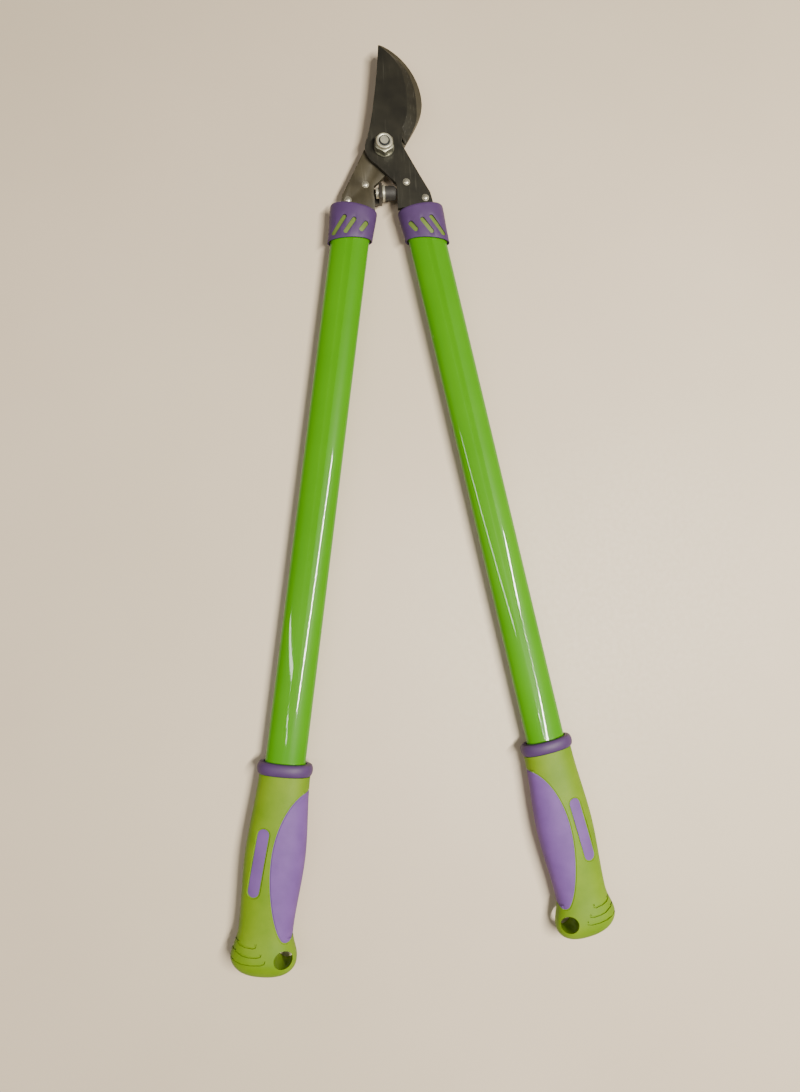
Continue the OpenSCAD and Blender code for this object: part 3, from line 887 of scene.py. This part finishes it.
GRIP_STATIONS = [
    (493.4, 18.9, -0.8, 12.6),
    (554, 22.2, -1.1, 14.5),
    (606, 19.8, -0.9, 13.2),
    (625, 24, -1.8, 14),
]
GRIP_END = 638.5
stations = []
for before, after in zip(GRIP_STATIONS, GRIP_STATIONS[1:]):
    steps = max(8, round((after[0] - before[0]) / 3))
    for k in range(steps):
        share = ease(k / steps)
        along = before[0] + (after[0] - before[0]) * k / steps
        stations.append((along, *[before[i] + (after[i] - before[i]) * share for i in (1, 2, 3)]))
last = GRIP_STATIONS[-1]
heel_l = (GRIP_END - last[0]) / math.sin(math.radians(88))
for turn in range(0, 89, 8):
    swing = math.radians(turn)
    shrink = math.cos(swing) ** 0.7
    reach = last[0] + heel_l * math.sin(swing)
    stations.append((reach, last[1] * shrink, last[2] - 1.5 * math.sin(swing), last[3] * shrink))
skin = drawn_body("skin", stations, points=112, power=2.3)


def on_skin(across, along, face, lift=0):
    """The point of the grip's front (face 1) or back (face -1) over a place, lifted by some mm."""
    start = Vector((across * mm, -along * mm, MID_Z + face * 50 * mm))
    spot, normal = skin.ray_cast(start, Vector((0, 0, -face)))[1:3]
    return spot + normal * lift * mm


def beside_skin(along, height, side, lift=0):
    """The point of the grip's outer side (1) or inner side (-1) at a height over its middle plane."""
    start = Vector((side * 60 * mm, -along * mm, MID_Z + height * mm))
    spot, normal = skin.ray_cast(start, Vector((-side, 0, 0)))[1:3]
    return spot + normal * lift * mm


palm_outline = [
    (-40, 503.2),
    *bezier((-21, 503.2), (-10, 506.1), (0.6, 527), (0.6, 552)),
    *bezier((0.6, 552), (0.6, 574), (-6, 599.8), (-13, 609.3)),
    *bezier((-13, 609.3), (-15.4, 612.6), (-19.4, 612.4), (-20.6, 608.3), 8),
    (-20.6, 608.3),
    (-40, 602.8),
]
BAR_ACROSS = 9.4
BAR_FRONT = 531
BAR_REAR = 580
BAR_W = 8.4
BAR_LEAN = math.radians(3)
POCKET_FLOOR = 9.4
PLAY = 0.1
body = bpy.data.objects.new("body", skin.data.copy())
palm = bpy.data.objects.new("palm", skin.data.copy())
for part in (body, palm):
    bpy.context.scene.collection.objects.link(part)
palm_tool = drawn_outline("palm_tool", palm_outline, BELOW, ABOVE)
carve(body, palm_tool, keep_tool=True)
carve(palm, palm_tool, "INTERSECT")

bars = []
for face in (1, -1):
    outline = long_hole(BAR_ACROSS, BAR_FRONT, BAR_REAR, BAR_W, BAR_LEAN)
    inset = long_hole(BAR_ACROSS, BAR_FRONT + PLAY, BAR_REAR - PLAY, BAR_W - 2 * PLAY, BAR_LEAN)
    near, far = sorted((MID_Z + face * POCKET_FLOOR * mm, MID_Z + face * 30 * mm))
    pocket = drawn_outline("pocket", outline, near, far)
    bar = bpy.data.objects.new("bar", skin.data.copy())
    bpy.context.scene.collection.objects.link(bar)
    smaller = drawn_outline("smaller", inset, near, far)
    carve(bar, smaller, "INTERSECT")
    bar.location.z = -face * 0.5 * mm
    pick(bar)
    bpy.ops.object.transform_apply(location=True, rotation=False, scale=False)
    bars.append(bar)
    carve(body, pocket)
    rim = [on_skin(across, along, face, 0.3) for across, along in outline]
    carve(body, groove_tool("rim", rim, 1.1 * mm, True))

seam = []
for face in (1, -1):
    across_face = [on_skin(x, y, face, 0.45) for x, y in palm_outline[1:-1] if x > -18.6]
    if face == 1:
        seam += across_face
        seam += [beside_skin(608.3, h, -1, 0.45) for h in (8, 4, 0, -4, -8)]
    else:
        seam += across_face[::-1]
        seam += [beside_skin(503.6, h, -1, 0.45) for h in (-8, -4, 0, 4, 8)]
for part in (body, palm):
    carve(part, groove_tool("seam", seam, 1.0 * mm, True))

ENGRAVINGS = (
    [(4.2, 611.9), (4.3, 614.2), (6.0, 614.8), (11.6, 614.6), (15.7, 613.9), (18.0, 613.0)],
    [(-0.2, 618.6), (0.1, 620.2), (2.5, 620.9), (8, 621.1), (13, 620.6), (18.5, 619.1)],
    [(-3.5, 623.0), (-3.3, 624.9), (-0.8, 625.9), (6, 626.4), (13, 626.4), (19.5, 625.6)],
)
SIDE_ALONG = (612.1, 618.4, 625.0)
for line, side_along in zip(ENGRAVINGS, SIDE_ALONG):
    front = [on_skin(x, y, 1, -0.3) for x, y in line]
    side_turn = [beside_skin(side_along, h, 1, -0.3) for h in (8, 5, 2, -2, -5, -8)]
    back = [on_skin(x, y, -1, -0.3) for x, y in reversed(line)]
    carve(body, groove_tool("engraving", front + side_turn + back, 0.9 * mm, False))

tube_room = drawn_body("tube_room", [(along, *ROOM_OVAL) for along in (480, 601)])
HANG_R = 6.5
HANG_SPOT = (-16.6 * mm, -623.2 * mm, 0)
hang_hole = turned(
    "hang_hole", [(0, -5), (9, -5), (HANG_R, 1.2), (HANG_R, 27.8), (9, 34), (0, 34)], HANG_SPOT
)
carve(palm, tube_room, keep_tool=True)
carve(body, tube_room)
carve(body, hang_hole)

green = make_finish(
    "green", (0.108, 0.205, 0.000), (0.146, 0.244, 0.004),
    0.018, (0.50, 0.62), 0.0007, 0.00003, 0.25,
)
soft_purple = make_finish(
    "soft_purple", (0.124, 0.058, 0.222), (0.150, 0.071, 0.260),
    0.014, (0.55, 0.68), 0.0007, 0.00004, 0.25,
)
BEAD_FRONT = 484.4
BEAD_L = 8.95
bead_stations = []
for turn in range(0, 181, 12):
    swing = math.radians(turn)
    bulge = math.sin(swing)
    along = BEAD_FRONT + BEAD_L * (1 - math.cos(swing)) / 2
    bead_stations.append((along, 18.4 + 2.3 * bulge, -0.4, 12 + 2.2 * bulge))
bead = drawn_body("bead", bead_stations, power=2.2)
throat = drawn_body("throat", [
    (479, 17.4, 0, 10.9),
    (484.3, 16.2, 0, 9.7),
    (485.5, 15.4, 0, 8.9),
    (487.4, *ROOM_OVAL),
    (497, *ROOM_OVAL),
])
carve(bead, throat)

for side, rides_on in SIDES.items():
    for part, name, finish, slot, node in (
        (body, "grip", green, "green_plastic", "grip_body"),
        (palm, "palm_pad", soft_purple, "purple_soft", "palm_inlay"),
        (bead, "grip_bead", sleeve_finish, "purple_plastic", "grip_ring"),
    ):
        piece = hang_on(part, f"{name}_{side}", side)
        smooth_and_coat(piece, finish)
        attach(piece, rides_on)
        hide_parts(f"{side}_{node}")
    strips = [hang_on(bar, f"bar_{side}", side) for bar in bars]
    pick(strips[0])
    strips[1].select_set(True)
    bpy.ops.object.join()
    strip = bpy.context.object
    smooth_and_coat(strip, soft_purple)
    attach(strip, rides_on)
    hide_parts(f"{side}_bar_inlays")
for spare in (skin, body, palm, bead, *bars):
    bpy.data.objects.remove(spare)
